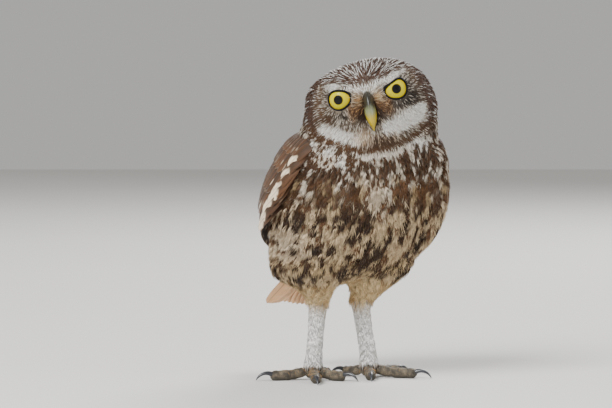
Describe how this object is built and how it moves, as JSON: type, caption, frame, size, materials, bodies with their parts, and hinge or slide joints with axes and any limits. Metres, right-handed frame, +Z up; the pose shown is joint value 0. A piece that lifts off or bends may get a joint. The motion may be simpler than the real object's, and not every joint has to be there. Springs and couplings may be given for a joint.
{
  "type": "little owl",
  "caption": "Life-size still model of a small owl standing on two feathered legs, with folded wings, short tail and yellow eyes.",
  "frame": {"origin": "middle of the model's box on the floor that the toes stand on", "axes": "+Z up, the face looks along -Y, +X towards the bird's left; the breast is turned about 22 degrees from the face towards +X"},
  "size_m": [0.119, 0.127, 0.1967],
  "materials": {
    "plumage": "soft layered feathers, brown blotched with white and buff",
    "flight_feathers": "smooth close feather vanes, brown with white spots and pale bars",
    "thigh_down": "loose buff down",
    "shank_down": "short dense white feathers",
    "toe_skin": "scaly olive grey skin with pale bristles",
    "eye": "wet gloss, bright yellow with a black pupil",
    "bill": "satin horn, grey green ridge and yellow edges",
    "claw": "satin blue-black horn"
  },
  "bodies": {
    "root": {"bill_lower": "bill", "bill_upper": "bill", "claw_left_hind": "claw", "claw_left_inner": "claw", "claw_left_middle": "claw", "claw_left_outer": "claw", "claw_right_hind": "claw", "claw_right_inner": "claw", "claw_right_middle": "claw", "claw_right_outer": "claw", "eye_left": "eye", "eye_right": "eye", "head": "plumage", "neck": "plumage", "shank_left": "shank_down", "shank_right": "shank_down", "tail": "flight_feathers", "thigh_left": "thigh_down", "thigh_right": "thigh_down", "toe_left_hind": "toe_skin", "toe_left_inner": "toe_skin", "toe_left_middle": "toe_skin", "toe_left_outer": "toe_skin", "toe_right_hind": "toe_skin", "toe_right_inner": "toe_skin", "toe_right_middle": "toe_skin", "toe_right_outer": "toe_skin", "torso": "plumage", "wing_left": "flight_feathers", "wing_right": "flight_feathers"}
  },
  "joints": []
}
